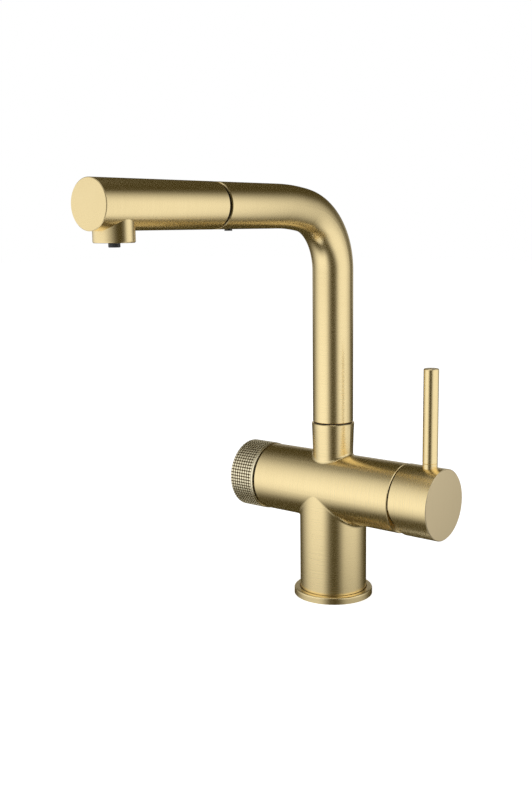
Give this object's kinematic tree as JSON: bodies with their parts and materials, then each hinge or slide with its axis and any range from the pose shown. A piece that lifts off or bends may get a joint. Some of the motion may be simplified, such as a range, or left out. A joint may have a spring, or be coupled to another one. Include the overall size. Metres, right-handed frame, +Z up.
{
  "type": "three way filtered water tap",
  "caption": "Kitchen tap with a swivelling angled spout, a pull-out spray head with its own filtered water outlet, a side mixer lever and a knurled filter knob.",
  "frame": {"origin": "centre of the mouth of the mounting thread, on the worktop surface", "axes": "+Z up, -Y along the spout's arm, +X towards the mixer lever, -X towards the filter knob"},
  "size_m": [0.1648, 0.245, 0.286],
  "materials": {
    "brushed_gold": "brushed",
    "plain_brass": "machined",
    "stainless": "satin",
    "black_plastic": "matte",
    "pale_acetal": "matte",
    "black_rubber": "matte",
    "white_ceramic": "polished",
    "grey_hose": "braided",
    "clear_tube": "smooth",
    "dark_outlet": "matte"
  },
  "bodies": {
    "body": {"tap_body": "brushed_gold", "base_flange": "brushed_gold", "base_seal": "black_rubber", "spout_retaining_screw": "stainless", "spray_hose_lower": "grey_hose", "filter_tube_lower": "clear_tube", "cartridge_housing": "pale_acetal", "cartridge_base_plate": "pale_acetal", "cartridge_port_seals": "black_rubber", "mixer_fixed_disc": "white_ceramic", "cartridge_nut": "plain_brass", "cartridge_cover": "black_plastic", "filter_valve_body": "plain_brass", "filter_valve_washer": "black_plastic", "filter_seat_seal": "black_rubber", "filter_fixed_disc": "white_ceramic"},
    "spout": {"spout_tube": "brushed_gold", "spout_spigot": "plain_brass", "spout_o_rings": "black_rubber", "spout_washer": "black_plastic", "docking_collar": "black_plastic", "docking_screw": "stainless", "spray_hose_middle": "grey_hose", "filter_tube_middle": "clear_tube"},
    "spray_head": {"spray_hose_upper": "grey_hose", "filter_tube_upper": "clear_tube", "hose_ferrule": "plain_brass", "head_tail": "black_plastic", "docking_o_ring": "black_rubber", "spray_head_shell": "brushed_gold", "water_carrier": "pale_acetal", "filter_duct": "pale_acetal", "filtered_outlet": "dark_outlet", "aerator_housing": "black_plastic", "aerator_screen": "stainless", "aerator_seal": "black_rubber"},
    "temperature_rotor": {"cartridge_rotor": "pale_acetal", "lever_pivot_pin": "stainless"},
    "flow_disc": {"mixer_moving_disc": "white_ceramic", "disc_carrier": "pale_acetal"},
    "lever": {"cartridge_stem": "plain_brass", "lever_cap": "brushed_gold", "lever_pin": "brushed_gold", "lever_grub_screw": "stainless"},
    "knob": {"filter_moving_disc": "white_ceramic", "filter_spindle": "plain_brass", "spindle_seal": "black_rubber", "filter_knob": "brushed_gold", "knob_spline_bush": "plain_brass", "knob_grub_screw": "stainless"}
  },
  "joints": [
    {"name": "spout_swivel", "type": "hinge", "parent": "body", "child": "spout", "pos_m": [0, 0, 0.124], "axis": [0, 0, 1], "range_deg": [-75, 75]},
    {"name": "head_pull_out", "type": "slide", "parent": "spout", "child": "spray_head", "axis": [0, -1, 0], "range_m": [0, 0.068]},
    {"name": "temperature_turn", "type": "hinge", "parent": "body", "child": "temperature_rotor", "pos_m": [0.0475, 0, 0.078], "axis": [1, 0, 0], "range_deg": [-45, 45]},
    {"name": "lever_tilt", "type": "hinge", "parent": "temperature_rotor", "child": "lever", "pos_m": [0.0475, 0, 0.078], "axis": [0, 1, 0], "range_deg": [0, 14]},
    {"name": "flow_disc_slide", "type": "slide", "parent": "temperature_rotor", "child": "flow_disc", "axis": [0, 0, 1], "range_m": [0, 0.00277]},
    {"name": "filter_knob_turn", "type": "hinge", "parent": "body", "child": "knob", "pos_m": [-0.0543, 0, 0.078], "axis": [-1, 0, 0], "range_deg": [0, 90]}
  ],
  "couplings": [
    {"joint": "flow_disc_slide", "follows": "lever_tilt", "m_per_rad": 0.0113}
  ]
}
